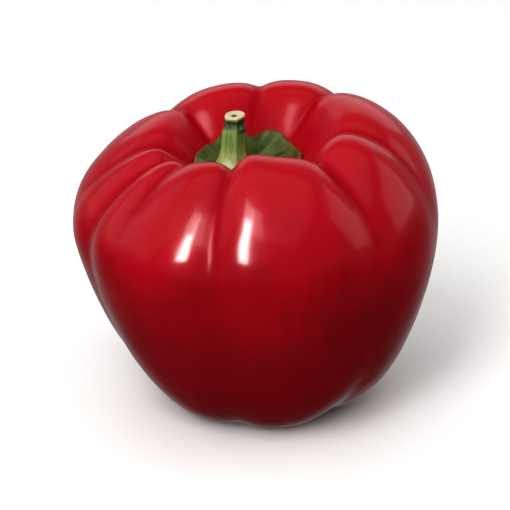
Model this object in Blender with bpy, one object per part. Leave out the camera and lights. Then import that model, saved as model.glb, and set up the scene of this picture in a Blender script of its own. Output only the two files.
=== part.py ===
"""A ripe red bell pepper, standing on its blossom end.

It grew as three pieces: the hollow-topped fruit, the green calyx that sits in the hollow, and the
cut stem on the calyx. Units are metres and degrees, +Z is up, -Y is the front. The origin is on the
surface that the pepper stands on, under the middle of the fruit.
"""

import math

import bpy
import numpy as np
from mathutils import Vector
from mathutils.bvhtree import BVHTree

# Fruit: the turned outline, before its grooves. Heights are above the table.
FRUIT_HEIGHT = 0.0722  # to the crest of a middling lobe
HOLLOW_DEPTH = 0.0135  # from the crest down to the floor under the calyx
HOLLOW_FLOOR_RADIUS = 0.0070
HOLLOW_FLOOR_RISE = 0.06  # share of the depth that the floor has risen at that radius
HOLLOW_WALL_RADIUS = 0.0132
HOLLOW_WALL_RISE = 0.39  # share of the depth that the wall has risen at that radius
CREST_RADIUS = 0.0218
SHOULDER_RADIUS = 0.0374
SHOULDER_DROP = 0.0068  # from the crest down to the shoulder
BELLY_RADIUS = 0.0452
BELLY_HEIGHT = 0.0492
WAIST_RADIUS = 0.0406
WAIST_HEIGHT = 0.0264
HIP_RADIUS = 0.0322
HIP_HEIGHT = 0.0092
FOOT_RADIUS = 0.0200  # the ring of lobe tips that it stands on
DIMPLE_HEIGHT = 0.0045  # of the blossom end's hollow above the table
DIMPLE_RADIUS = 0.0080
DIMPLE_RISE = 0.8  # share of that height that its wall has risen at that radius
FOOT_FLAT = 0.0009  # how much of each lobe tip is pressed flat

# Fruit: how it grew out of true.
LEAN = 0.0028  # the foot stands this far to +X of the crown
SLANT = 0.108  # rise of the crown per metre towards +X
BACK_SLANT = 0.074  # and towards the back
CROWN_FROM = 0.5  # share of the height where the crown's slant begins
TWIST = 2.0  # how far a groove turns between the hollow and the belly

# Grooves: angle from +X seen from above, depth at the crest, how far down the side it runs (0 to 1),
# half its width in degrees, and its depth between the feet.
GROOVES = {
    "back_right": (45, 0.0034, 0.55, 8, 0.0024),
    "back": (86, 0.0019, 0.25, 6.5, 0.0005),
    "back_left": (134, 0.0032, 0.45, 8, 0.0020),
    "left_rear": (184, 0.0024, 0.20, 7, 0.0004),
    "left": (202, 0.0048, 0.75, 8, 0.0028),
    "front_left": (223, 0.0022, 0.15, 7, 0.0),
    "front": (257.5, 0.0040, 0.55, 7, 0.0012),
    "front_right": (313, 0.0046, 0.45, 11, 0.0020),
    "right": (346, 0.0022, 0.30, 8, 0.0005),
}
CREASE_ROUNDING = 2.0  # at the bottom of a groove in the hollow
VALLEY_ROUNDING = 1.5  # more than that further down the side, where it opens into a valley
VALLEY_WIDENING = 0.7  # how much wider a groove has grown when it reaches the foot
GROOVE_START = (0.25, 0.85)  # from nothing to full depth, as shares of the way to the crest
SHORTEST_REACH = 0.25
GROOVE_END = 0.98  # share of the outline's length where the longest groove ends
FOOT_GROOVE = (0.5, 0.86, 0.9, 1.0)  # rises between the first two shares, ends between the last two
FOOT_ROUNDING = 5.0
FOOT_HALF_WIDTH = 9.0

# The one lobe whose crest stands proud of the rest.
PROUD_ANGLE = 264
PROUD_HEIGHT = 0.0034
PROUD_ROUNDING = 12.0
PROUD_HALF_WIDTH = 13

# Calyx: the green cap in the hollow.
GAP = 0.0003  # between pieces that touch
CALYX_RADIUS = 0.0126
CALYX_SHIFT = (-0.0008, 0.0006)  # from the fruit's crown
CALYX_TEETH = (50, 118, 188, 250, 300, 342)  # the angle of each tooth
CALYX_TOOTH = 0.0016  # how far a tooth stands out
CALYX_EDGE = 0.0010  # thickness at the rim
CALYX_CENTRE = 0.0024  # and round the stem

# Stem: the stalk that is left where the pepper was cut.
STEM_LENGTH = 0.0108
STEM_FOOT_RADIUS = 0.0037
STEM_RADIUS = 0.0029
NECK_RADIUS = 0.0023  # the pinch below the cut
CUT_RADIUS = 0.0024
FLARE_SHARE = 0.35  # of the stem's length, up to where its foot has narrowed
NECK_SHARE = 0.8
SEAT_MARGIN = 0.0009  # the calyx's flat seat reaches this far beyond the stem's foot
STEM_SHIFT = (-0.0038, 0.0)  # from the calyx
STEM_TOP_LEAN = (0.0007, 0.0004)
STEM_FLUTES = 5
FLUTE_DEPTH = 0.07  # as a share of the stem's radius
PITH_RADIUS = 0.0008
PITH_DEPTH = 0.0012

# How finely the solids are cut.
FRUIT_COLUMNS = 80
FRUIT_ROWS = 38
CALYX_COLUMNS = 60
CALYX_RINGS = 7
STEM_SIDES = 20
STEM_RINGS = 9
FINE_POINTS = 3000  # of the smooth outline, before it is cut into even rows


def smooth_step(low, high, value):
    share = np.clip((value - low) / (high - low), 0.0, 1.0)
    return share * share * (3.0 - 2.0 * share)


def fruit_outline():
    """Radius and height of the turned outline, from the hollow's floor round to the blossom end."""
    floor = FRUIT_HEIGHT - HOLLOW_DEPTH
    return [
        (0.0, floor),
        (HOLLOW_FLOOR_RADIUS, floor + HOLLOW_FLOOR_RISE * HOLLOW_DEPTH),
        (HOLLOW_WALL_RADIUS, floor + HOLLOW_WALL_RISE * HOLLOW_DEPTH),
        (CREST_RADIUS, FRUIT_HEIGHT),
        (SHOULDER_RADIUS, FRUIT_HEIGHT - SHOULDER_DROP),
        (BELLY_RADIUS, BELLY_HEIGHT),
        (WAIST_RADIUS, WAIST_HEIGHT),
        (HIP_RADIUS, HIP_HEIGHT),
        (FOOT_RADIUS, 0.0),
        (DIMPLE_RADIUS, DIMPLE_RISE * DIMPLE_HEIGHT),
        (0.0, DIMPLE_HEIGHT),
    ]


def closed_spline(points):
    """The knots and a function of the smooth closed curve through these points."""
    knots = np.asarray(points + points[:1], float)
    steps = np.linalg.norm(np.diff(knots, axis=0), axis=1) ** 0.5
    times = np.concatenate([[0.0], np.cumsum(steps)])
    slopes = np.diff(knots, axis=0) / steps[:, None]
    count = len(points)
    matrix = np.zeros((count, count))
    for i in range(count):
        before = steps[i - 1]
        after = steps[i]
        matrix[i, i - 1] += before
        matrix[i, i] += 2.0 * (before + after)
        matrix[i, (i + 1) % count] += after
    bends = np.linalg.solve(matrix, 6.0 * (slopes - np.roll(slopes, 1, axis=0)))
    bends = np.vstack([bends, bends[:1]])

    def at(time):
        i = np.clip(np.searchsorted(times, time, side="right") - 1, 0, count - 1)
        step = steps[i][:, None]
        done = (time - times[i])[:, None]
        left = step - done
        cubic = (bends[i] * left**3 + bends[i + 1] * done**3) / (6.0 * step)
        start = (knots[i] / step - bends[i] * step / 6.0) * left
        end = (knots[i + 1] / step - bends[i + 1] * step / 6.0) * done
        return cubic + start + end

    return times, at


def even_outline(rows):
    """The outline at even lengths along it: points, outward directions and lengths."""
    half = fruit_outline()
    mirrored = [(-radius, height) for radius, height in reversed(half[1:-1])]
    times, at = closed_spline(half + mirrored)
    fine = at(np.linspace(0.0, times[len(half) - 1], FINE_POINTS))
    steps = np.linalg.norm(np.diff(fine, axis=0), axis=1)
    lengths = np.concatenate([[0.0], np.cumsum(steps)])
    along = np.linspace(0.0, lengths[-1], rows)
    slope = np.gradient(fine, axis=0)
    outward = np.stack([-slope[:, 1], slope[:, 0]], axis=1)
    outward /= np.linalg.norm(outward, axis=1)[:, None]
    points = np.stack([np.interp(along, lengths, fine[:, k]) for k in range(2)], axis=1)
    normals = np.stack([np.interp(along, lengths, outward[:, k]) for k in range(2)], axis=1)
    crest = lengths[np.argmax(fine[: FINE_POINTS // 2, 1])]
    belly = lengths[np.argmax(fine[:, 0])]
    return points, normals, along, crest, belly


def notch(away, rounding, half_width):
    """A groove's cross-section, 1 at its bottom: how rounded it is there, and how wide, in radians."""
    return np.exp((rounding - np.sqrt(away**2 + rounding**2)) / half_width)


def turned_from(turn, angle):
    """How far round this is from an angle in degrees, in radians, without a jump at a full turn."""
    return 2.0 * np.sin((turn - math.radians(angle)) / 2.0)


def groove_depth(turn, along, crest, belly):
    """How far the surface is drawn in, at this angle and this length along the outline."""
    end = along[-1]
    length = along[:, None]
    twisted = turn[None, :] + math.radians(TWIST) * (smooth_step(0.0, belly, length) - 0.5)
    opening = smooth_step(0.9 * crest, 1.3 * belly, length)
    rounding = np.radians(CREASE_ROUNDING + VALLEY_ROUNDING * opening)
    widening = 1.0 + VALLEY_WIDENING * smooth_step(crest, 0.8 * end, length)
    rise = smooth_step(GROOVE_START[0] * crest, GROOVE_START[1] * crest, length)
    foot = smooth_step(FOOT_GROOVE[0] * end, FOOT_GROOVE[1] * end, length)
    foot *= 1.0 - smooth_step(FOOT_GROOVE[2] * end, FOOT_GROOVE[3] * end, length)
    drawn = np.zeros((len(along), len(turn)))
    for angle, depth, reach, half_width, foot_depth in GROOVES.values():
        away = turned_from(twisted, angle)
        side = notch(away, rounding, math.radians(half_width) * widening)
        under = notch(away, math.radians(FOOT_ROUNDING), math.radians(FOOT_HALF_WIDTH))
        share = SHORTEST_REACH + (1.0 - SHORTEST_REACH) * reach
        run = (GROOVE_END * end - crest) * share
        fade = 1.0 - smooth_step(crest, crest + run, length)
        drawn += depth * side * rise * fade + foot_depth * under * foot
    away = turned_from(twisted, PROUD_ANGLE)
    proud = notch(away, math.radians(PROUD_ROUNDING), math.radians(PROUD_HALF_WIDTH))
    drawn -= PROUD_HEIGHT * proud * rise * (1.0 - smooth_step(crest, belly, length))
    return drawn


def fruit_points(columns, rows):
    """The fruit's surface as rows of points from the hollow's floor to the blossom end."""
    outline, outward, along, crest, belly = even_outline(rows)
    turn = np.linspace(0.0, 2.0 * math.pi, columns, endpoint=False)
    drawn = groove_depth(turn, along, crest, belly)
    radius = outline[:, :1] - drawn * outward[:, :1]
    height = outline[:, 1:] - drawn * outward[:, 1:]
    x = radius * np.cos(turn)
    y = radius * np.sin(turn)
    crown = smooth_step(CROWN_FROM * FRUIT_HEIGHT, FRUIT_HEIGHT, height)
    raised = height + crown * (SLANT * x + BACK_SLANT * y)
    x = x + LEAN * (1.0 - smooth_step(0.0, FRUIT_HEIGHT, height))
    sunk = raised - raised.min() - FOOT_FLAT
    return np.stack([x, y, np.maximum(sunk, 0.0)], axis=-1)


def middle_of(points):
    """Where the middle of the fruit is, seen from above."""
    flat = points.reshape(-1, 3)
    return (flat.min(axis=0) + flat.max(axis=0)) * (0.5, 0.5, 0.0)


def lathe_mesh(name, rings):
    """A closed mesh through rings of points: the first and the last ring each shrink to one point."""
    rows, columns = rings.shape[:2]
    points = [rings[0].mean(axis=0)]
    points.extend(rings[1:-1].reshape(-1, 3))
    points.append(rings[-1].mean(axis=0))
    last = len(points) - 1
    faces = []
    for row in range(rows - 3):
        for column in range(columns):
            a = 1 + row * columns + column
            b = 1 + row * columns + (column + 1) % columns
            faces.append((a, a + columns, b + columns, b))
    for column in range(columns):
        after = (column + 1) % columns
        faces.append((0, 1 + column, 1 + after))
        bottom = last - columns
        faces.append((bottom + column, last, bottom + after))
    mesh = bpy.data.meshes.new(name)
    mesh.from_pydata([tuple(map(float, p)) for p in points], [], faces)
    mesh.validate()
    mesh.shade_smooth()
    return mesh


def skin(name, colour, roughness):
    """A material for one piece."""
    material = bpy.data.materials.new(name)
    material.use_nodes = True
    shader = material.node_tree.nodes["Principled BSDF"]
    shader.inputs["Base Color"].default_value = (*colour, 1.0)
    shader.inputs["Roughness"].default_value = roughness
    shader.inputs["Metallic"].default_value = 0.0
    return material


def place(name, mesh, material):
    mesh.materials.append(material)
    piece = bpy.data.objects.new(name, mesh)
    bpy.context.scene.collection.objects.link(piece)
    return piece


def make_fruit():
    """The red fruit, and where the middle of its crown lies once the origin is under its middle."""
    rings = fruit_points(FRUIT_COLUMNS, FRUIT_ROWS)
    middle = middle_of(rings)
    mesh = lathe_mesh("fruit", rings - middle)
    piece = place("fruit", mesh, skin("red_skin", (0.36, 0.004, 0.012), 0.22))
    return piece, Vector((-middle[0], -middle[1]))


def height_above(tree, x, y, reach):
    """The highest point of the fruit within reach of this place in the hollow."""
    down = Vector((0.0, 0.0, -1.0))
    found = [tree.ray_cast(Vector((x, y, 2.0 * FRUIT_HEIGHT)), down)[0].z]
    for step in range(8):
        turn = math.radians(45.0 * step)
        aside = Vector((x + reach * math.cos(turn), y + reach * math.sin(turn), 2.0 * FRUIT_HEIGHT))
        found.append(tree.ray_cast(aside, down)[0].z)
    return max(found)


def calyx_rim(turn):
    """The calyx's radius at this angle: rounded hollows between short teeth."""
    first = CALYX_TEETH[0]
    angles = [*CALYX_TEETH, first + 360.0]
    tooth = np.interp((math.degrees(turn) - first) % 360.0 + first, angles, range(len(angles)))
    return CALYX_RADIUS + CALYX_TOOTH * (0.5 - abs(math.sin(math.pi * tooth)))


def make_calyx(fruit, crown):
    """The green cap, which lies in the hollow, and the middle and height of the seat on top of it."""
    tree = BVHTree.FromObject(fruit, bpy.context.evaluated_depsgraph_get())
    centre = crown + Vector(CALYX_SHIFT)
    seat = centre + Vector(STEM_SHIFT)
    seat_radius = STEM_FOOT_RADIUS + SEAT_MARGIN
    reach = 0.6 * CALYX_RADIUS / CALYX_RINGS
    lower = []
    upper = []
    seat_top = height_above(tree, seat.x, seat.y, seat_radius) + GAP + CALYX_CENTRE
    for ring in range(CALYX_RINGS + 1):
        under = []
        over = []
        for column in range(CALYX_COLUMNS):
            turn = 2.0 * math.pi * column / CALYX_COLUMNS
            direction = Vector((math.cos(turn), math.sin(turn)))
            rim = centre + direction * calyx_rim(turn)
            seat_edge = seat + direction * seat_radius
            if ring <= 1:
                spot = seat.lerp(seat_edge, ring)
            else:
                spot = seat_edge.lerp(rim, (ring - 1) / (CALYX_RINGS - 1))
            floor = height_above(tree, spot.x, spot.y, reach) + GAP
            fall = smooth_step(0.0, 1.0, (ring - 1) / (CALYX_RINGS - 1))
            skin_top = floor + CALYX_EDGE + (CALYX_CENTRE - CALYX_EDGE) * (1.0 - fall)
            under.append((spot.x, spot.y, floor))
            over.append((spot.x, spot.y, seat_top if ring <= 1 else skin_top))
        lower.append(under)
        upper.append(over)
    rings = np.array(upper + lower[::-1])
    mesh = lathe_mesh("calyx", rings)
    place("calyx", mesh, skin("green_calyx", (0.045, 0.075, 0.012), 0.55))
    return seat, seat_top


def make_stem(seat, seat_top):
    """The cut stalk, fluted, pinched below the cut, with the pith sunk in its end."""
    base = seat_top + GAP
    stations = [0.0, FLARE_SHARE / 3.0, FLARE_SHARE, NECK_SHARE - 0.2, NECK_SHARE, NECK_SHARE + 0.1, 1.0]
    widths = [
        STEM_FOOT_RADIUS,
        0.92 * STEM_FOOT_RADIUS,
        1.05 * STEM_RADIUS,
        STEM_RADIUS,
        NECK_RADIUS,
        0.98 * CUT_RADIUS,
        CUT_RADIUS,
    ]
    turn = np.linspace(0.0, 2.0 * math.pi, STEM_SIDES, endpoint=False)
    flute = 1.0 + FLUTE_DEPTH * np.cos(STEM_FLUTES * turn)
    point = np.zeros_like(turn)
    pith = np.full_like(turn, PITH_RADIUS)
    sunk = 1.0 - PITH_DEPTH / STEM_LENGTH
    rings = [ring_at(seat, base, 0.0, point, turn)]
    for share in np.linspace(0.0, 1.0, STEM_RINGS):
        radius = np.interp(share, stations, widths)
        rings.append(ring_at(seat, base, share, radius * flute, turn))
    rings.append(ring_at(seat, base, 1.0, pith, turn))
    rings.append(ring_at(seat, base, sunk, pith, turn))
    rings.append(ring_at(seat, base, sunk, point, turn))
    mesh = lathe_mesh("stem", np.array(rings)[::-1])
    place("stem", mesh, skin("green_stem", (0.13, 0.22, 0.045), 0.5))


def ring_at(seat, base, share, radius, turn):
    """One ring of the stem's surface, at this share of its length."""
    x = seat.x + STEM_TOP_LEAN[0] * share**2 + radius * np.cos(turn)
    y = seat.y + STEM_TOP_LEAN[1] * share**2 + radius * np.sin(turn)
    z = np.full_like(turn, base + STEM_LENGTH * share)
    return np.stack([x, y, z], axis=1)


for leftover in list(bpy.data.objects):
    bpy.data.objects.remove(leftover)
fruit_piece, crown_middle = make_fruit()
bpy.context.view_layer.update()
seat_middle, seat_height = make_calyx(fruit_piece, crown_middle)
make_stem(seat_middle, seat_height)
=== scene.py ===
"""A ripe red bell pepper on a pale floor: the fine surfaces and finishes of the three pieces it grew as."""

import math

import bpy
import numpy as np
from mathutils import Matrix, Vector
from mathutils.bvhtree import BVHTree


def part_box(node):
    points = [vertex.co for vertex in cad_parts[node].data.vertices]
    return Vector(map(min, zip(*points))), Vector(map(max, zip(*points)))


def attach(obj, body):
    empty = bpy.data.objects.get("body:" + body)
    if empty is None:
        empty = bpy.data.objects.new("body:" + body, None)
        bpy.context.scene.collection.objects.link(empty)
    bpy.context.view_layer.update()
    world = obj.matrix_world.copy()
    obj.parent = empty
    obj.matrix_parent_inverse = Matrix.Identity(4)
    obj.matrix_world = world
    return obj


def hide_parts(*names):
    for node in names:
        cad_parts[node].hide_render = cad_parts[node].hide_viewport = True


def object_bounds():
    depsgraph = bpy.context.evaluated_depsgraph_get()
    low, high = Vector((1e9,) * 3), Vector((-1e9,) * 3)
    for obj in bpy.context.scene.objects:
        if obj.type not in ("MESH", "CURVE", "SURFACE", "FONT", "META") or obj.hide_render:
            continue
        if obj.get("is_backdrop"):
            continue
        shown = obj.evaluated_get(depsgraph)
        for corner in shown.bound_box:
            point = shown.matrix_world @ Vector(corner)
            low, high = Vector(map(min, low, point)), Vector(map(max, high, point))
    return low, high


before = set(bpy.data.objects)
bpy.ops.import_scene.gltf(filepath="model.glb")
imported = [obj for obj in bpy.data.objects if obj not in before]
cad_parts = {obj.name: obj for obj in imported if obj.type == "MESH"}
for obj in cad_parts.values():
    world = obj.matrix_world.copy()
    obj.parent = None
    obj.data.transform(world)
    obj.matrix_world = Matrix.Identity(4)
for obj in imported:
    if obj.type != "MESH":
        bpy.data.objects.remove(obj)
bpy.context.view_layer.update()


# --- Fruit -----------------------------------------------------------------------------------------
# The fruit is one hollow berry with a waxy, glossy skin. It grew round a handful of seed walls, so
# its crown and its blossom end are drawn into lobes along creases, which open into soft valleys down
# the side. It stands on the tips of its lobes.

fruit_low, fruit_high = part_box("fruit")
fruit_size = fruit_high - fruit_low
belly_radius = 0.505 * fruit_size.x
crest_height = 0.973 * fruit_size.z
hollow_depth = 0.187 * crest_height
foot_flat = 0.0009
fruit_columns = 360
fruit_rows = 230

# Radius and height of the turned outline, from the hollow's floor round to the blossom end.
outline = [
    (0.0, crest_height - hollow_depth),
    (0.155 * belly_radius, crest_height - 0.94 * hollow_depth),
    (0.292 * belly_radius, crest_height - 0.61 * hollow_depth),
    (0.482 * belly_radius, crest_height),
    (0.827 * belly_radius, 0.906 * crest_height),
    (belly_radius, 0.681 * crest_height),
    (0.898 * belly_radius, 0.366 * crest_height),
    (0.712 * belly_radius, 0.127 * crest_height),
    (0.442 * belly_radius, 0.0),
    (0.177 * belly_radius, 0.050 * crest_height),
    (0.0, 0.062 * crest_height),
]

# Each groove between two lobes: its angle from +X seen from above, its depth at the crest, how far
# down the side it runs (0 to 1), half its width in degrees, and its depth between the feet.
grooves = {
    "Back right": (45, 0.0034, 0.55, 8, 0.0024),
    "Back": (86, 0.0019, 0.25, 6.5, 0.0005),
    "Back left": (134, 0.0032, 0.45, 8, 0.0020),
    "Left rear": (184, 0.0024, 0.20, 7, 0.0004),
    "Left": (202, 0.0048, 0.75, 8, 0.0028),
    "Front left": (223, 0.0022, 0.15, 7, 0.0),
    "Front": (257.5, 0.0040, 0.55, 7, 0.0012),
    "Front right": (313, 0.0046, 0.45, 11, 0.0020),
    "Right": (346, 0.0022, 0.30, 8, 0.0005),
}
groove_facts = ("angle", "depth", "reach", "half width", "foot depth")


def closed_spline(points):
    """The knots' times and a function of the smooth closed curve through these points."""
    knots = np.asarray(points + points[:1], float)
    steps = np.linalg.norm(np.diff(knots, axis=0), axis=1) ** 0.5
    times = np.concatenate([[0.0], np.cumsum(steps)])
    slopes = np.diff(knots, axis=0) / steps[:, None]
    count = len(points)
    matrix = np.zeros((count, count))
    for i in range(count):
        matrix[i, i - 1] += steps[i - 1]
        matrix[i, i] += 2.0 * (steps[i - 1] + steps[i])
        matrix[i, (i + 1) % count] += steps[i]
    bends = np.linalg.solve(matrix, 6.0 * (slopes - np.roll(slopes, 1, axis=0)))
    bends = np.vstack([bends, bends[:1]])

    def at(time):
        i = np.clip(np.searchsorted(times, time, side="right") - 1, 0, count - 1)
        step = steps[i][:, None]
        done = (time - times[i])[:, None]
        left = step - done
        cubic = (bends[i] * left**3 + bends[i + 1] * done**3) / (6.0 * step)
        start = (knots[i] / step - bends[i] * step / 6.0) * left
        end = (knots[i + 1] / step - bends[i + 1] * step / 6.0) * done
        return cubic + start + end

    return times, at


def outline_object():
    """The outline as a fine curve, and the shares of its length at the crest and at the belly."""
    mirrored = [(-radius, height) for radius, height in reversed(outline[1:-1])]
    times, at = closed_spline(outline + mirrored)
    fine_points = 900
    fine = at(np.linspace(0.0, times[len(outline) - 1], fine_points))
    lengths = np.concatenate([[0.0], np.cumsum(np.linalg.norm(np.diff(fine, axis=0), axis=1))])
    upper_half = fine[: fine_points // 2]
    curve = bpy.data.curves.new("fruit_outline", "CURVE")
    curve.dimensions = "3D"
    spline = curve.splines.new("POLY")
    spline.points.add(len(fine) - 1)
    for point, (radius, height) in zip(spline.points, fine):
        point.co = (radius, 0.0, height, 1.0)
    crest = lengths[np.argmax(upper_half[:, 1])] / lengths[-1]
    belly = lengths[np.argmax(fine[:, 0])] / lengths[-1]
    turned = bpy.data.objects.new("fruit_turned", curve)
    bpy.context.scene.collection.objects.link(turned)
    return turned, crest, belly


class Wire:
    """One output in a node tree. An expression on wires adds the tree's Math nodes."""

    def __init__(self, bench, socket):
        self.bench = bench
        self.socket = socket

    def also(self, name):
        """Another output of the same node."""
        return Wire(self.bench, self.socket.node.outputs[name])

    def maths(self, operation, *values):
        return self.bench.add("ShaderNodeMath", {"operation": operation}, dict(enumerate(values)))

    def __add__(self, other):
        return self.maths("ADD", self, other)

    def __radd__(self, other):
        return self.maths("ADD", other, self)

    def __sub__(self, other):
        return self.maths("SUBTRACT", self, other)

    def __rsub__(self, other):
        return self.maths("SUBTRACT", other, self)

    def __mul__(self, other):
        return self.maths("MULTIPLY", self, other)

    def __rmul__(self, other):
        return self.maths("MULTIPLY", other, self)

    def __truediv__(self, other):
        return self.maths("DIVIDE", self, other)

    def __rtruediv__(self, other):
        return self.maths("DIVIDE", other, self)

    def root(self):
        return self.maths("SQRT", self)

    def exp(self):
        return self.maths("EXPONENT", self)

    def sin(self):
        return self.maths("SINE", self)

    def cos(self):
        return self.maths("COSINE", self)

    def most(self, other):
        return self.maths("MAXIMUM", self, other)

    def least(self, other):
        return self.maths("MINIMUM", self, other)

    def step(self, low, high):
        """0 below low, 1 above high, smooth between."""
        return self.bench.add(
            "ShaderNodeMapRange",
            {"interpolation_type": "SMOOTHSTEP"},
            {"Value": self, "From Min": low, "From Max": high},
        )


class Bench:
    """A node tree, and the one way that nodes are put into it."""

    def __init__(self, tree):
        self.tree = tree

    def add(self, kind, settings=None, sockets=None, output=0):
        """A node of this kind, its settings made first, then its sockets' values or links."""
        node = self.tree.nodes.new(kind)
        for name, value in (settings or {}).items():
            setattr(node, name, value)
        for key, value in (sockets or {}).items():
            if isinstance(value, Wire):
                self.tree.links.new(value.socket, node.inputs[key])
            else:
                node.inputs[key].default_value = value
        return Wire(self, node.outputs[output])

    def vector(self, x, y, z):
        return self.add("ShaderNodeCombineXYZ", sockets={"X": x, "Y": y, "Z": z})

    def mix(self, share, first, second):
        """One colour passing into another."""
        colours = [c if isinstance(c, Wire) else (*c, 1.0) for c in (first, second)]
        sockets = {0: share, 6: colours[0], 7: colours[1]}
        return self.add("ShaderNodeMix", {"data_type": "RGBA"}, sockets, output=2)

    def noise(self, place, scale, detail=2.0, roughness=0.5):
        sockets = {"Vector": place, "Scale": scale, "Detail": detail, "Roughness": roughness}
        return self.add("ShaderNodeTexNoise", sockets=sockets)


def name_inputs(tree, sizes):
    """The tree's inputs, one for each size, and its output."""
    tree.interface.new_socket("Outline", in_out="INPUT", socket_type="NodeSocketGeometry")
    tree.interface.new_socket("Skin", in_out="INPUT", socket_type="NodeSocketMaterial")
    for name, value in sizes.items():
        kind = "NodeSocketInt" if isinstance(value, int) else "NodeSocketFloat"
        tree.interface.new_socket(name, in_out="INPUT", socket_type=kind)
    tree.interface.new_socket("Fruit", in_out="OUTPUT", socket_type="NodeSocketGeometry")


def notch(away, rounding, width):
    """1 at the middle of a groove, falling to 0 over its width, with its bottom rounded."""
    return ((rounding - (away * away + rounding * rounding).root()) / width).exp()


def draw_lobes(size, turn, down):
    """How far the skin is drawn in between the lobes, and how near it is to the bottom of a crease."""
    radians = math.pi / 180.0
    crest = size("Crest share")
    belly = size("Belly share")
    twist = (down.step(0.0, belly) - 0.5) * size("Twist") * radians
    opening = down.step(0.9 * crest, 1.3 * belly)
    rounding = (size("Crease rounding") + size("Valley rounding") * opening) * radians
    widening = 1.0 + 0.7 * down.step(crest, 0.8)
    rise = down.step(0.25 * crest, 0.85 * crest)
    foot = down.step(0.5, 0.86) * (1.0 - down.step(0.9, 1.0))
    foot_round = size("Foot rounding") * radians
    foot_width = size("Foot half width") * radians
    crease_line = size("Crease rounding") * radians

    def away_from(angle):
        return 2.0 * ((turn + twist - angle * radians) * 0.5).sin()

    drawn = 0.0
    crease = 0.0
    for groove in grooves:
        away = away_from(size(f"{groove} groove angle"))
        half_width = size(f"{groove} groove half width") * radians
        run = (0.98 - crest) * (0.25 + 0.75 * size(f"{groove} groove reach"))
        fade = 1.0 - down.step(crest, crest + run)
        side = notch(away, rounding, half_width * widening) * rise * fade
        under = notch(away, foot_round, foot_width) * foot
        drawn = drawn + size(f"{groove} groove depth") * side
        drawn = drawn + size(f"{groove} groove foot depth") * under
        crease = crease + notch(away, crease_line, crease_line) * rise * fade
    away = away_from(size("Proud angle"))
    bulge = notch(away, size("Proud rounding") * radians, size("Proud half width") * radians)
    proud = bulge * rise * (1.0 - down.step(crest, belly))
    return drawn - size("Proud height") * proud, crease


def swell_skin(bench, size, point, turn, down):
    """Growth is never even: the skin swells and sinks a little over a finger's width."""
    mm = 1000.0
    place = bench.vector(point * turn.cos() * mm, point * turn.sin() * mm, point.also("Z") * mm)
    swell = bench.noise(place, 0.040, detail=0.0) - 0.5
    ripple = bench.noise(place, 0.130, detail=1.0) - 0.5
    away_from_poles = down.step(0.02, 0.25) * (1.0 - down.step(0.86, 0.98))
    return (swell * size("Swelling") + ripple * size("Ripple")) * away_from_poles


def set_down(bench, size, grown):
    """The fruit lowered until its lobes' tips are pressed flat, and its seam and poles closed."""
    now = bench.add("GeometryNodeInputPosition")
    spot = bench.add("ShaderNodeSeparateXYZ", sockets={"Vector": now})
    lowest = bench.add(
        "GeometryNodeAttributeStatistic",
        sockets={"Geometry": grown, "Attribute": spot.also("Z")},
        output="Min",
    )
    above_floor = (spot.also("Z") - lowest - size("Foot flat")).most(0.0)
    standing = bench.add(
        "GeometryNodeSetPosition",
        sockets={"Geometry": grown, "Position": bench.vector(spot, spot.also("Y"), above_floor)},
    )
    return bench.add(
        "GeometryNodeMergeByDistance", sockets={"Geometry": standing, "Distance": 2e-6}
    )


def fruit_tree(sizes):
    """The tree that turns the outline into the fruit. sizes gives its named inputs their values."""
    tree = bpy.data.node_groups.new("grow_fruit", "GeometryNodeTree")
    name_inputs(tree, sizes)
    bench = Bench(tree)
    given = bench.add("NodeGroupInput")

    def size(name):
        return given.also(name)

    grid = bench.add(
        "GeometryNodeMeshGrid",
        sockets={
            "Size X": 1.0,
            "Size Y": 1.0,
            "Vertices X": size("Columns") + 1,
            "Vertices Y": size("Rows"),
        },
    )
    place = bench.add("GeometryNodeInputPosition")
    across = bench.add("ShaderNodeSeparateXYZ", sockets={"Vector": place})
    round_share = across + 0.5
    down = (across.also("Y") + 0.5).least(1.0).most(0.0)
    turn = round_share * (2.0 * math.pi)
    sampled = bench.add(
        "GeometryNodeSampleCurve",
        {"mode": "FACTOR"},
        {"Curves": given, "Factor": down},
        output="Position",
    )
    point = bench.add("ShaderNodeSeparateXYZ", sockets={"Vector": sampled})
    slope = bench.add("ShaderNodeSeparateXYZ", sockets={"Vector": sampled.also("Tangent")})

    drawn, crease = draw_lobes(size, turn, down)
    moved = swell_skin(bench, size, point, turn, down) - drawn
    radius = point - moved * slope.also("Z")
    height = point.also("Z") + moved * slope
    x = radius * turn.cos()
    y = radius * turn.sin()
    crown = height.step(0.5 * size("Crest height"), size("Crest height"))
    raised = height + crown * (size("Slant") * x + size("Back slant") * y)
    leaning = x + size("Lean") * (1.0 - height.step(0.0, size("Crest height")))

    # The grid's own place is lost once it is wrapped, so its two shares are kept as the UV map.
    mapped = bench.add(
        "GeometryNodeStoreNamedAttribute",
        {"data_type": "FLOAT2", "domain": "CORNER"},
        {"Geometry": grid, "Name": "UVMap", "Value": bench.vector(round_share, down, 0.0)},
    )
    creased = bench.add(
        "GeometryNodeStoreNamedAttribute",
        {"data_type": "FLOAT", "domain": "POINT"},
        {"Geometry": mapped, "Name": "crease", "Value": crease},
    )
    grown = bench.add(
        "GeometryNodeSetPosition",
        sockets={"Geometry": creased, "Position": bench.vector(leaning, y, raised)},
    )
    closed = set_down(bench, size, grown)
    outward = bench.add("GeometryNodeFlipFaces", sockets={"Mesh": closed})
    soft = bench.add("GeometryNodeSetShadeSmooth", sockets={"Geometry": outward})
    real = bench.add("GeometryNodeRealizeInstances", sockets={"Geometry": soft})
    skinned = bench.add(
        "GeometryNodeSetMaterial", sockets={"Geometry": real, "Material": given.also("Skin")}
    )
    ending = tree.nodes.new("NodeGroupOutput")
    tree.links.new(skinned.socket, ending.inputs["Fruit"])
    return tree


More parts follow.
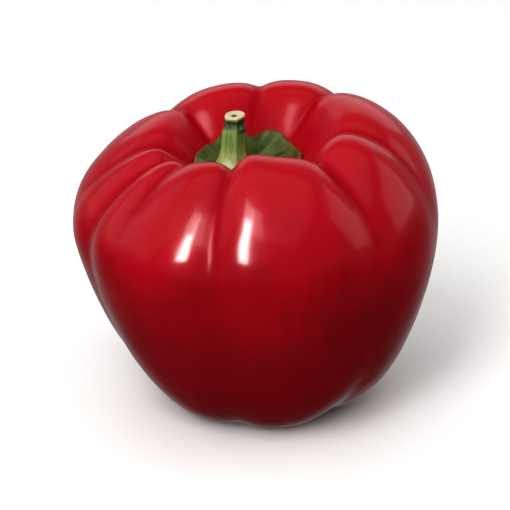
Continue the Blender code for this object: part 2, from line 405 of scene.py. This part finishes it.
def grow_fruit(skin):
    """The fruit as a plain mesh, fitted to the CAD fruit's box."""
    turned, crest_share, belly_share = outline_object()
    sizes = {
        "Columns": fruit_columns,
        "Rows": fruit_rows,
        "Crest share": float(crest_share),
        "Belly share": float(belly_share),
        "Crest height": crest_height,
        "Foot flat": foot_flat,
        "Lean": 0.0028,
        "Slant": 0.108,
        "Back slant": 0.074,
        "Twist": 2.0,
        "Proud angle": 264.0,
        "Proud height": 0.0034,
        "Proud rounding": 12.0,
        "Proud half width": 13.0,
        "Crease rounding": 2.0,
        "Valley rounding": 1.5,
        "Foot rounding": 5.0,
        "Foot half width": 9.0,
        "Swelling": 0.0014,
        "Ripple": 0.00025,
    }
    for groove, facts in grooves.items():
        for name, value in zip(groove_facts, facts):
            sizes[f"{groove} groove {name}"] = float(value)
    tree = fruit_tree(sizes)
    modifier = turned.modifiers.new("grow", "NODES")
    modifier.node_group = tree
    for item in tree.interface.items_tree:
        if item.in_out == "INPUT" and item.name in sizes:
            modifier[item.identifier] = sizes[item.name]
        elif item.in_out == "INPUT" and item.name == "Skin":
            modifier[item.identifier] = skin
    graph = bpy.context.evaluated_depsgraph_get()
    mesh = bpy.data.meshes.new_from_object(turned.evaluated_get(graph), depsgraph=graph)
    mesh.name = "pepper_fruit"
    turned.modifiers.clear()
    bpy.data.objects.remove(turned)
    points = np.empty(len(mesh.vertices) * 3)
    mesh.vertices.foreach_get("co", points)
    points = points.reshape(-1, 3)
    low = points.min(axis=0)
    fit = np.array(fruit_size) / (points.max(axis=0) - low)
    mesh.vertices.foreach_set("co", ((points - low) * fit + np.array(fruit_low)).ravel())
    mesh.update()
    piece = bpy.data.objects.new("pepper_fruit", mesh)
    bpy.context.scene.collection.objects.link(piece)
    return piece


def fruit_skin():
    """Ripe red skin: a clear waxy gloss over deep red flesh, painted lighter at the crown and darker below
    as light and shade.
    """
    material = bpy.data.materials.new("pepper_skin")
    material.use_nodes = True
    bench = Bench(material.node_tree)
    shader = material.node_tree.nodes["Principled BSDF"]
    place = bench.add("ShaderNodeTexCoord", output="Object")
    spot = bench.add("ShaderNodeSeparateXYZ", sockets={"Vector": place})
    shares = bench.add("ShaderNodeUVMap", {"uv_map": "UVMap"})
    share = bench.add("ShaderNodeSeparateXYZ", sockets={"Vector": shares})
    turn = share * (2.0 * math.pi)
    down = share.also("Y")

    height = spot.also("Z") / fruit_size.z
    blotch = bench.noise(place, 45.0, detail=3.0)
    along = bench.vector(turn.cos() * 1.0, turn.sin() * 1.0, down * 0.35)
    streak = bench.noise(along, 22.0, detail=3.0, roughness=0.6)
    # Painted light and shade: the skin is coloured lighter towards the crown and darker towards the bottom.
    # The blotches and streaks are the skin's own uneven tone.
    painted_shade_and_tone = height.step(0.25, 1.0) * 0.6 + (blotch - 0.5) * 0.5 + (streak - 0.5) * 0.2
    colour = bench.mix(painted_shade_and_tone.step(-0.1, 0.8), (0.150, 0.0003, 0.0050), (0.37, 0.0020, 0.0120))
    speck = bench.noise(place, 2100.0, detail=0.0).step(0.70, 0.80)
    colour = bench.mix(speck * 0.04, colour, (0.62, 0.10, 0.06))
    crease = bench.add("ShaderNodeAttribute", {"attribute_name": "crease"}, output="Fac")
    # Painted shade: the skin's colour is darkened along the bottoms of the creases.
    colour = bench.mix(crease * 0.25, colour, (0.11, 0.0, 0.0040))
    scar = down.step(0.985, 0.996)
    colour = bench.mix(scar, colour, (0.16, 0.075, 0.035))

    pores = bench.noise(place, 900.0, detail=2.0)
    dents = bench.noise(place, 160.0, detail=2.0)
    relief = pores * 0.000010 + dents * 0.00006 + streak * 0.00003
    bump = bench.add(
        "ShaderNodeBump", sockets={"Strength": 0.6, "Distance": 1.0, "Height": relief}
    )
    rough = 0.36 + (blotch - 0.5) * 0.10 + (pores - 0.5) * 0.05
    links = material.node_tree.links
    links.new(colour.socket, shader.inputs["Base Color"])
    links.new(rough.socket, shader.inputs["Roughness"])
    links.new(bump.socket, shader.inputs["Normal"])
    # The wax is rubbed to a shine on the outside, and stays dull in the hollow and the creases.
    rubbed = 0.25 + 0.75 * down.step(0.12, 0.23)
    wax = 0.6 * rubbed * (1.0 - 0.9 * crease.step(0.2, 0.8)) * (1.0 - scar)
    links.new(wax.socket, shader.inputs["Coat Weight"])
    shader.inputs["IOR"].default_value = 1.2
    shader.inputs["Specular Tint"].default_value = (1.0, 0.4, 0.4, 1.0)
    shader.inputs["Subsurface Weight"].default_value = 0.12
    shader.inputs["Subsurface Radius"].default_value = (1.0, 0.12, 0.08)
    shader.inputs["Subsurface Scale"].default_value = 0.0025
    shader.inputs["Coat Roughness"].default_value = 0.15
    shader.inputs["Coat IOR"].default_value = 1.40
    return material


fruit = grow_fruit(fruit_skin())
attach(fruit, "root")
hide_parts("fruit")


# --- Calyx -----------------------------------------------------------------------------------------
# The calyx is the dried-on green cap of the flower: a leathery plate with a few blunt teeth, moulded
# to the floor of the hollow and up its walls, with a rib to each tooth and a collar round the stem.

calyx_low, calyx_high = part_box("calyx")
stem_low, stem_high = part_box("stem")
calyx_size = calyx_high - calyx_low
calyx_centre = calyx_low + Vector((0.510 * calyx_size.x, 0.520 * calyx_size.y, 0.0))
calyx_radius = 0.486 * calyx_size.x
calyx_teeth = (50, 118, 188, 250, 300, 342)  # degrees from +X
calyx_tooth = 0.0009
calyx_edge = 0.0009
collar_height = 0.0012
collar_radius = 0.0038
stem_lean = Vector((0.0007, 0.0004, 0.0))
stem_size = stem_high - stem_low
stem_foot = stem_low + Vector((0.476 * stem_size.x, 0.531 * stem_size.y, 0.0))


def smooth_step(low, high, value):
    share = np.clip((value - low) / (high - low), 0.0, 1.0)
    return share * share * (3.0 - 2.0 * share)


def ring_mesh(name, rings, material):
    """A closed mesh through rings of points, its first and last rings each drawn to one point."""
    rows, columns = rings.shape[:2]
    points = [rings[0].mean(axis=0), *rings[1:-1].reshape(-1, 3), rings[-1].mean(axis=0)]
    last = len(points) - 1
    faces = []
    shares = []
    for column in range(columns):
        after = (column + 1) % columns
        left = column / columns
        right = (column + 1) / columns
        faces.append((0, 1 + column, 1 + after))
        shares.extend([(left, 0.0), (left, 1 / (rows - 1)), (right, 1 / (rows - 1))])
        for row in range(1, rows - 2):
            a = 1 + (row - 1) * columns + column
            b = 1 + (row - 1) * columns + after
            faces.append((a, a + columns, b + columns, b))
            upper = row / (rows - 1)
            lower = (row + 1) / (rows - 1)
            shares.extend([(left, upper), (left, lower), (right, lower), (right, upper)])
        foot = last - columns
        faces.append((foot + column, last, foot + after))
        shares.extend([(left, 1 - 1 / (rows - 1)), (left, 1.0), (right, 1 - 1 / (rows - 1))])
    mesh = bpy.data.meshes.new(name)
    mesh.from_pydata([tuple(map(float, p)) for p in points], [], faces)
    layer = mesh.uv_layers.new(name="UVMap")
    layer.data.foreach_set("uv", np.array(shares).ravel())
    mesh.shade_smooth()
    mesh.materials.append(material)
    piece = bpy.data.objects.new(name, mesh)
    bpy.context.scene.collection.objects.link(piece)
    return piece


def floor_heights(spots, reach):
    """The fruit's height under each spot, evened out over a disc of this radius."""
    tree = BVHTree.FromObject(fruit, bpy.context.evaluated_depsgraph_get())
    ways = [(0.0, 0.0)]
    for step in range(8):
        ways.append((math.cos(step * math.pi / 4) * reach, math.sin(step * math.pi / 4) * reach))
    top = fruit_high.z + 0.01
    heights = []
    for x, y in spots:
        found = []
        for dx, dy in ways:
            found.append(tree.ray_cast(Vector((x + dx, y + dy, top)), Vector((0, 0, -1)))[0].z)
        heights.append(0.5 * max(found) + 0.5 * sum(found) / len(found))
    return np.array(heights)


def make_calyx(material):
    columns = 180
    rings = 34
    rib_height = 0.00035
    crinkle_height = 0.00009
    middle_thicker = 0.0008
    floor_gap = 0.00005
    turn = np.linspace(0.0, 2.0 * math.pi, columns, endpoint=False)
    uneven = 0.00035 * np.sin(2.0 * turn + 0.6) + 0.00025 * np.sin(5.0 * turn + 2.0)
    first = math.radians(calyx_teeth[0])
    angles = np.radians([*calyx_teeth, calyx_teeth[0] + 360.0])
    number = np.interp((turn - first) % (2.0 * math.pi) + first, angles, np.arange(len(angles)))
    between = np.abs(np.sin(math.pi * number))
    rim = calyx_radius + calyx_tooth * (0.5 - between**2) + uneven
    rib = np.maximum(0.0, 1.0 - between / 0.42) ** 1.5
    shares = 1.0 - (1.0 - np.linspace(0.0, 1.0, rings)) ** 1.25
    middle = np.array(stem_foot)[:2]
    centre = np.array(calyx_centre)[:2]
    edge = centre + np.stack([np.cos(turn), np.sin(turn)], axis=1) * rim[:, None]
    upper = []
    lower = []
    for share in shares:
        spots = middle + (edge - middle) * share
        floor = floor_heights(spots, 0.0006 + 0.0012 * (1.0 - share))
        away = np.linalg.norm(spots - middle, axis=1)
        collar = collar_height * np.exp(-((away / collar_radius) ** 2))
        plate = calyx_edge + middle_thicker * (1.0 - share)
        rib_fade = smooth_step(0.2, 0.45, share) * (1.0 - smooth_step(0.7, 1.0, share))
        ribs = rib_height * rib * rib_fade
        waves = np.sin(13.0 * turn + 5.0 * share) + 0.6 * np.sin(29.0 * turn - 4.0 * share + 1.0)
        crinkle = crinkle_height * waves * smooth_step(0.3, 0.9, share)
        rolled = np.sqrt(np.clip((1.0 - share) / 0.05, 0.0, 1.0))
        height = floor + (plate + ribs + crinkle) * (0.25 + 0.75 * rolled) + collar
        upper.append(np.column_stack([spots, height]))
        lower.append(np.column_stack([spots, floor + floor_gap]))
    skin = np.array(upper + lower[::-1])
    piece = ring_mesh("pepper_calyx", skin, material)
    layer = piece.data.attributes.new("rib", "FLOAT", "POINT")
    ribs_over = np.array([rib * smooth_step(0.15, 0.4, share) for share in shares])
    inner = np.vstack([ribs_over, ribs_over[::-1]])[1:-1]
    layer.data.foreach_set("value", np.concatenate([[0.0], inner.ravel(), [0.0]]))
    return piece


def calyx_skin():
    """Leathery dark green, paler along the ribs and dry and brownish at the rim."""
    material = bpy.data.materials.new("calyx_green")
    material.use_nodes = True
    bench = Bench(material.node_tree)
    shader = material.node_tree.nodes["Principled BSDF"]
    place = bench.add("ShaderNodeTexCoord", output="Object")
    shares = bench.add("ShaderNodeUVMap", {"uv_map": "UVMap"})
    share = bench.add("ShaderNodeSeparateXYZ", sockets={"Vector": shares})
    blotch = bench.noise(place, 260.0, detail=4.0)
    fine = bench.noise(place, 1600.0, detail=3.0)
    vein = bench.add("ShaderNodeAttribute", {"attribute_name": "rib"}, output="Fac")
    out = share.also("Y") * 2.0
    turn = share * (2.0 * math.pi)
    fibre = bench.noise(bench.vector(turn.cos() * 3.0, turn.sin() * 3.0, out * 0.8), 4.0, detail=3.0)
    colour = bench.mix(blotch.step(0.35, 0.65), (0.026, 0.040, 0.006), (0.080, 0.105, 0.020))
    colour = bench.mix(fibre.step(0.45, 0.7) * 0.45, colour, (0.12, 0.15, 0.040))
    colour = bench.mix(vein * 0.45, colour, (0.14, 0.18, 0.050))
    near_stem = 1.0 - out.step(0.05, 0.35)
    colour = bench.mix(near_stem * 0.6, colour, (0.14, 0.22, 0.05))
    dry = out.step(0.74, 0.98) * (0.4 + blotch)
    colour = bench.mix(dry.least(1.0) * 0.7, colour, (0.15, 0.065, 0.025))
    relief = fine * 0.00008 + blotch * 0.00018 + fibre * 0.00025
    bump = bench.add(
        "ShaderNodeBump", sockets={"Strength": 0.8, "Distance": 1.0, "Height": relief}
    )
    rough = 0.52 + (blotch - 0.5) * 0.2
    links = material.node_tree.links
    links.new(colour.socket, shader.inputs["Base Color"])
    links.new(rough.socket, shader.inputs["Roughness"])
    links.new(bump.socket, shader.inputs["Normal"])
    shader.inputs["IOR"].default_value = 1.3
    return material


calyx = make_calyx(calyx_skin())
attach(calyx, "root")
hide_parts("calyx")


# --- Stem ------------------------------------------------------------------------------------------
# The stem is the short length of stalk left on the fruit when it was cut with a knife: fluted and
# fibrous, flared into the calyx, pinched below the cut and painted dark there as shade, with a pale woody
# ring round a pith.

stem_flutes = 5
foot_radius = 0.0037
shaft_radius = 0.0027
neck_radius = 0.0022
cut_radius = 0.0025
pith_radius = 0.0005
knob_size = 0.0005
knob_angle = math.radians(-25.0)
knob_share = 0.70
cut_slant = Vector((0.08, 0.06, 0.0))


def ring_of_stem(share, radius, turn):
    """One ring of the stem at this share of its length above its foot, slanted near the cut."""
    centre = stem_foot + stem_lean * max(share, 0.0) ** 2
    x = radius * np.cos(turn)
    y = radius * np.sin(turn)
    slanted = (cut_slant.x * x + cut_slant.y * y) * smooth_step(0.75, 1.0, share)
    z = stem_low.z + stem_size.z * share + slanted
    return np.stack([centre.x + x, centre.y + y, z], axis=1)


def make_stem(material):
    columns = 120
    rows = 80
    flute_share = 0.085
    fibre_share = 0.03
    turn = np.linspace(0.0, 2.0 * math.pi, columns, endpoint=False)
    # Share of the length above the foot, and the radius there.
    stations = [
        (-0.16, 1.15 * foot_radius),
        (-0.08, 0.98 * foot_radius),
        (0.03, 0.86 * foot_radius),
        (0.18, 1.06 * shaft_radius),
        (0.40, shaft_radius),
        (0.60, 0.98 * shaft_radius),
        (0.74, 0.90 * shaft_radius),
        (0.83, neck_radius),
        (0.90, 1.02 * neck_radius),
        (0.96, 1.03 * cut_radius),
        (1.0, 0.96 * cut_radius),
    ]
    places = np.array([share for share, _ in stations])
    radii = np.array([radius for _, radius in stations])
    shares = np.linspace(places[0], 1.0, rows)
    smooth_radii = np.interp(shares, places, radii)
    for _ in range(12):
        smooth_radii[1:-1] = 0.25 * (smooth_radii[:-2] + 2.0 * smooth_radii[1:-1] + smooth_radii[2:])
    off_knob = np.arctan2(np.sin(turn - knob_angle), np.cos(turn - knob_angle))
    rings = [ring_of_stem(places[0], 0.0 * turn, turn)]
    for share, radius in zip(shares, smooth_radii):
        plain = 1.0 - 0.8 * smooth_step(0.75, 1.0, share)
        fluted = flute_share * smooth_step(-0.16, 0.1, share)
        flute = fluted * np.cos(stem_flutes * turn + 0.8 * share)
        fibres = fibre_share * np.cos(11.0 * turn + 1.0)
        knob = knob_size * np.exp(-((off_knob / 0.6) ** 2) - ((share - knob_share) / 0.07) ** 2)
        rings.append(ring_of_stem(share, radius * (1.0 + plain * (flute + fibres)) + knob, turn))

    # The cut end: a ring of wood that dried a little hollow and rough, round the sunk pith.
    rim = rings[-1]
    middle = rim.mean(axis=0)
    for inward, sink in ((0.90, -0.00005), (0.75, 0.00002), (0.55, 0.00010), (0.40, 0.00018)):
        ring = middle + (rim - middle) * inward
        ring[:, 2] -= sink + 0.00005 * np.sin(7.0 * turn + 8.0 * inward)
        rings.append(ring)
    pith = np.stack([np.cos(turn), np.sin(turn), np.zeros(columns)], axis=1) * pith_radius
    for inward, sink in ((1.0, 0.0003), (0.85, 0.0006), (0.6, 0.0008), (0.0, 0.0009)):
        ring = middle + pith * inward
        ring[:, 2] -= sink
        rings.append(ring)
    return ring_mesh("pepper_stem", np.array(rings)[::-1], material)


def stem_skin():
    """Fresh fibrous green, striped along the flutes, painted dark as shade at the pinch and beside the
    knob, and pale where it was cut.
    """
    material = bpy.data.materials.new("stem_green")
    material.use_nodes = True
    bench = Bench(material.node_tree)
    shader = material.node_tree.nodes["Principled BSDF"]
    place = bench.add("ShaderNodeTexCoord", output="Object")
    spot = bench.add("ShaderNodeSeparateXYZ", sockets={"Vector": place})
    up = (spot.also("Z") - stem_low.z) / stem_size.z
    dx = spot - (stem_foot.x + stem_lean.x * 0.7)
    dy = spot.also("Y") - (stem_foot.y + stem_lean.y * 0.7)
    angle = dy.maths("ARCTAN2", dy, dx)
    away = (dx * dx + dy * dy).root()
    along = bench.vector(angle.cos() * 3.0, angle.sin() * 3.0, up * 0.6)
    fibre = bench.noise(along, 4.0, detail=4.0, roughness=0.65)
    blotch = bench.noise(place, 300.0, detail=3.0)
    flute = (stem_flutes * angle + 0.8 * up).cos() * 0.5 + 0.5
    colour = bench.mix(fibre.step(0.3, 0.7), (0.085, 0.155, 0.030), (0.21, 0.33, 0.085))
    colour = bench.mix(flute * 0.45, colour, (0.26, 0.38, 0.13))
    pale_foot = 1.0 - up.step(0.05, 0.45)
    colour = bench.mix(pale_foot * 0.5, colour, (0.42, 0.42, 0.16))
    level = up - (dx * cut_slant.x + dy * cut_slant.y) / stem_size.z
    # Painted shade: the neck under the cut end's rim is coloured near black all round.
    painted_neck_shade = level.step(0.68, 0.80) * (1.0 - level.step(0.90, 0.95))
    colour = bench.mix(painted_neck_shade * 0.92, colour, (0.018, 0.036, 0.006))
    # Painted shade: the side of the neck beside the knob is coloured dark.
    facing_knob = (angle - knob_angle).cos().step(0.3, 1.0)
    painted_knob_shade = facing_knob * up.step(0.58, 0.68) * (1.0 - up.step(0.75, 0.85))
    colour = bench.mix(painted_knob_shade * 0.8, colour, (0.022, 0.040, 0.007))
    cut = level.step(0.955, 0.98)
    wood = bench.mix(blotch.step(0.35, 0.65), (0.66, 0.45, 0.34), (0.46, 0.42, 0.27))
    colour = bench.mix(cut, colour, wood)
    pith = (1.0 - away.step(0.0006, 0.0009)) * up.step(0.85, 0.9)
    colour = bench.mix(pith, colour, (0.045, 0.030, 0.015))
    relief = fibre * 0.00020 + blotch * 0.00008
    bump = bench.add(
        "ShaderNodeBump", sockets={"Strength": 0.9, "Distance": 1.0, "Height": relief}
    )
    rough = 0.45 + cut * 0.3 + (blotch - 0.5) * 0.15
    links = material.node_tree.links
    links.new(colour.socket, shader.inputs["Base Color"])
    links.new(rough.socket, shader.inputs["Roughness"])
    links.new(bump.socket, shader.inputs["Normal"])
    shader.inputs["Subsurface Weight"].default_value = 0.1
    shader.inputs["Subsurface Radius"].default_value = (0.5, 0.8, 0.2)
    shader.inputs["Subsurface Scale"].default_value = 0.001
    return material


stem = make_stem(stem_skin())
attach(stem, "root")
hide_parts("stem")


# --- Floor, light and camera -----------------------------------------------------------------------
# A plain pale surface under soft studio light. A tall window-like panel stands at the front left,
# with a small bright core and an upper glow that only show as gloss. A wide panel hangs overhead,
# and weak ones at the left, right and back lift the edges.


def make_floor():
    half = 15.0
    corners = [(-half, -half, 0.0), (half, -half, 0.0), (half, half, 0.0), (-half, half, 0.0)]
    mesh = bpy.data.meshes.new("floor")
    mesh.from_pydata(corners, [], [(0, 1, 2, 3)])
    material = bpy.data.materials.new("floor_pale")
    material.use_nodes = True
    shader = material.node_tree.nodes["Principled BSDF"]
    shader.inputs["Base Color"].default_value = (0.80, 0.795, 0.79, 1.0)
    shader.inputs["Roughness"].default_value = 0.6
    mesh.materials.append(material)
    floor = bpy.data.objects.new("floor", mesh)
    floor.location.z = -0.0001
    # A mirrored white floor would grey the skin's lower half, so gloss sees the dark room instead.
    floor.visible_glossy = False
    bpy.context.scene.collection.objects.link(floor)
    floor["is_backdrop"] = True


def make_light(name, compass, height, size, brightness, gloss_only=False):
    """A soft panel facing the pepper, from this compass angle and height, both in degrees."""
    distance = 0.9
    middle = Vector((0.0, 0.0, 0.045))
    width, tall = size
    light = bpy.data.lights.new(name, "AREA")
    light.shape = "RECTANGLE"
    light.size = width
    light.size_y = tall
    light.energy = brightness * math.pi * width * tall
    lamp = bpy.data.objects.new(name, light)
    turn = math.radians(compass)
    rise = math.radians(height)
    away = Vector((math.cos(turn) * math.cos(rise), math.sin(turn) * math.cos(rise), math.sin(rise)))
    lamp.location = middle + away * distance
    lamp.rotation_mode = "QUATERNION"
    lamp.rotation_quaternion = away.to_track_quat("Z", "Y")
    lamp.visible_diffuse = not gloss_only
    bpy.context.scene.collection.objects.link(lamp)


def make_room():
    """Even pale light from above the floor's level. Below it the room is dark, but paler at the back."""
    world = bpy.data.worlds.new("studio")
    world.use_nodes = True
    bench = Bench(world.node_tree)
    way = bench.add("ShaderNodeTexCoord", output="Generated")
    towards = bench.add("ShaderNodeSeparateXYZ", sockets={"Vector": way})
    above = towards.also("Z").step(-0.08, 0.02)
    below = 0.05 + 0.30 * towards.also("Y").step(0.3, 0.9)
    strength = above * 0.30 + (1.0 - above) * below
    background = world.node_tree.nodes["Background"]
    background.inputs["Color"].default_value = (1.0, 1.0, 1.0, 1.0)
    world.node_tree.links.new(strength.socket, background.inputs["Strength"])
    bpy.context.scene.world = world


def make_camera():
    distance = 0.45
    camera = bpy.data.cameras.new("camera")
    camera.sensor_width = 36.0
    camera.lens = 128.0
    eye = bpy.data.objects.new("camera", camera)
    elevation = math.radians(25.0)
    back = Vector((0.0, -math.cos(elevation), math.sin(elevation)))
    low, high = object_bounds()
    middle = (low + high) / 2
    middle.z -= 0.001
    eye.location = middle + back * distance
    eye.rotation_mode = "QUATERNION"
    eye.rotation_quaternion = back.to_track_quat("Z", "Y")
    bpy.context.scene.collection.objects.link(eye)
    bpy.context.scene.camera = eye


make_floor()
make_light("window", -118, 40, (0.30, 0.74), 7.2)
make_light("gleam", -116, 35, (0.20, 0.50), 36.0, gloss_only=True)
make_light("glow", -100, 50, (0.26, 0.34), 4.0, gloss_only=True)
make_light("sky", -100, 75, (1.3, 1.3), 0.62)
make_light("left", 175, 32, (0.9, 0.7), 0.6)
make_light("right", 10, 26, (0.6, 0.6), 1.1)
make_light("behind", 88, 28, (1.2, 0.45), 0.7)
make_room()
bpy.context.scene.view_settings.view_transform = "Standard"
bpy.context.scene.view_settings.look = "High Contrast"
make_camera()
